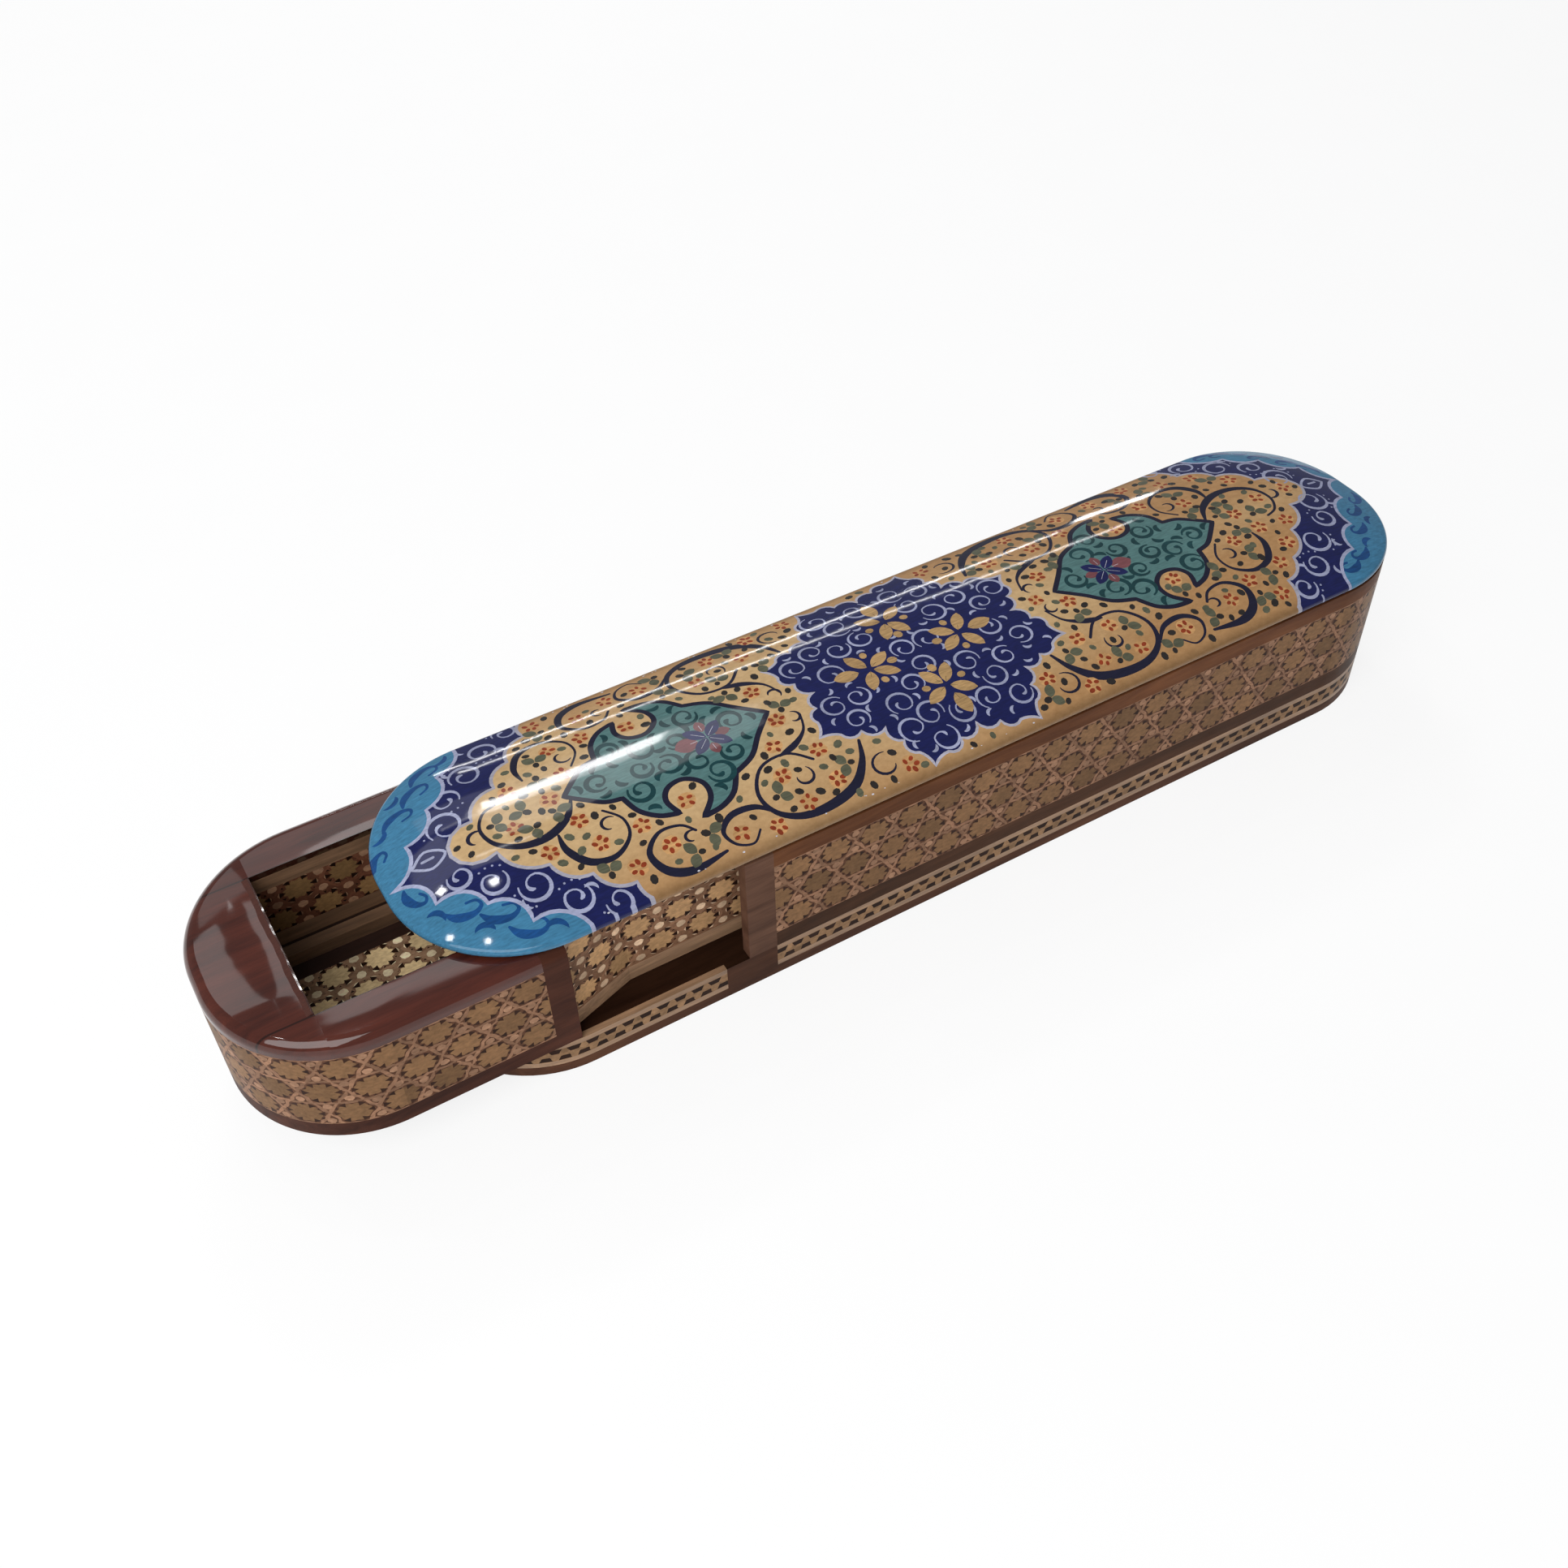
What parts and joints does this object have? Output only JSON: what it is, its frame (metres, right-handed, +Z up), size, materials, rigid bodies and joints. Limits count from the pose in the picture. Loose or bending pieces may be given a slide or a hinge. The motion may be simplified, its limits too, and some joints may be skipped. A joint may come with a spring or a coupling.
{
  "type": "pen box",
  "caption": "Long pen box with rounded ends, a domed painted lid, khatam marquetry walls on an inlaid base, and a shouldered pen drawer that slides out of one end.",
  "frame": {"origin": "centre of the base's flat underside", "axes": "+Z up, +X along the length towards the closed rear end, so the drawer slides out along -X"},
  "size_m": [0.2767, 0.057, 0.0426],
  "materials": {
    "lacquered_wood": "dark brown wood under gloss lacquer",
    "dark_wood": "very dark brown wood under gloss lacquer",
    "khatam": "star marquetry under satin varnish",
    "pale_wood": "pale straight-grained wood under varnish",
    "chequer": "dark and pale blocks under varnish",
    "painted_lid": "painted ornament under thick gloss varnish"
  },
  "bodies": {
    "case": {"base_board": "lacquered_wood", "base_lower_stringing_front": "pale_wood", "base_lower_stringing_rear": "pale_wood", "base_chequer_front": "chequer", "base_chequer_rear": "chequer", "base_upper_stringing_front": "pale_wood", "base_upper_stringing_rear": "pale_wood", "case_wall_near": "lacquered_wood", "case_wall_far": "lacquered_wood", "case_rear_wall": "lacquered_wood", "case_post_near": "lacquered_wood", "case_post_far": "lacquered_wood", "case_lower_band": "lacquered_wood", "case_upper_band": "lacquered_wood", "case_khatam_near": "khatam", "case_khatam_far": "khatam", "case_khatam_rear": "khatam", "lid_board": "painted_lid"},
    "drawer": {"drawer_floor": "dark_wood", "drawer_head_block": "lacquered_wood", "drawer_cheek_near": "lacquered_wood", "drawer_cheek_far": "lacquered_wood", "drawer_side_near": "lacquered_wood", "drawer_side_far": "lacquered_wood", "drawer_rear_wall": "lacquered_wood", "drawer_post_near": "lacquered_wood", "drawer_post_far": "lacquered_wood", "rim_head_cap": "lacquered_wood", "rim_rail_near": "lacquered_wood", "rim_rail_far": "lacquered_wood", "rim_rear_strip": "lacquered_wood", "drawer_lower_band": "lacquered_wood", "drawer_khatam_head": "khatam", "drawer_khatam_near": "khatam", "drawer_khatam_far": "khatam", "side_bottom_strip_near": "pale_wood", "side_bottom_strip_far": "pale_wood", "side_khatam_near": "khatam", "side_khatam_far": "khatam", "side_top_strip_near": "pale_wood", "side_top_strip_far": "pale_wood", "lining_skirting_near": "pale_wood", "lining_skirting_far": "pale_wood", "lining_line_near": "dark_wood", "lining_line_far": "dark_wood", "lining_low_band_near": "pale_wood", "lining_low_band_far": "pale_wood", "lining_khatam_near": "khatam", "lining_khatam_far": "khatam", "lining_top_band_near": "pale_wood", "lining_top_band_far": "pale_wood", "lining_front_panel": "khatam", "lining_rear_panel": "khatam", "floor_khatam": "khatam", "floor_border_near": "dark_wood", "floor_border_far": "dark_wood"}
  },
  "joints": [
    {"name": "drawer_slide", "type": "slide", "parent": "case", "child": "drawer", "axis": [-1, 0, 0], "range_m": [-0.0367, 0.0883]}
  ]
}
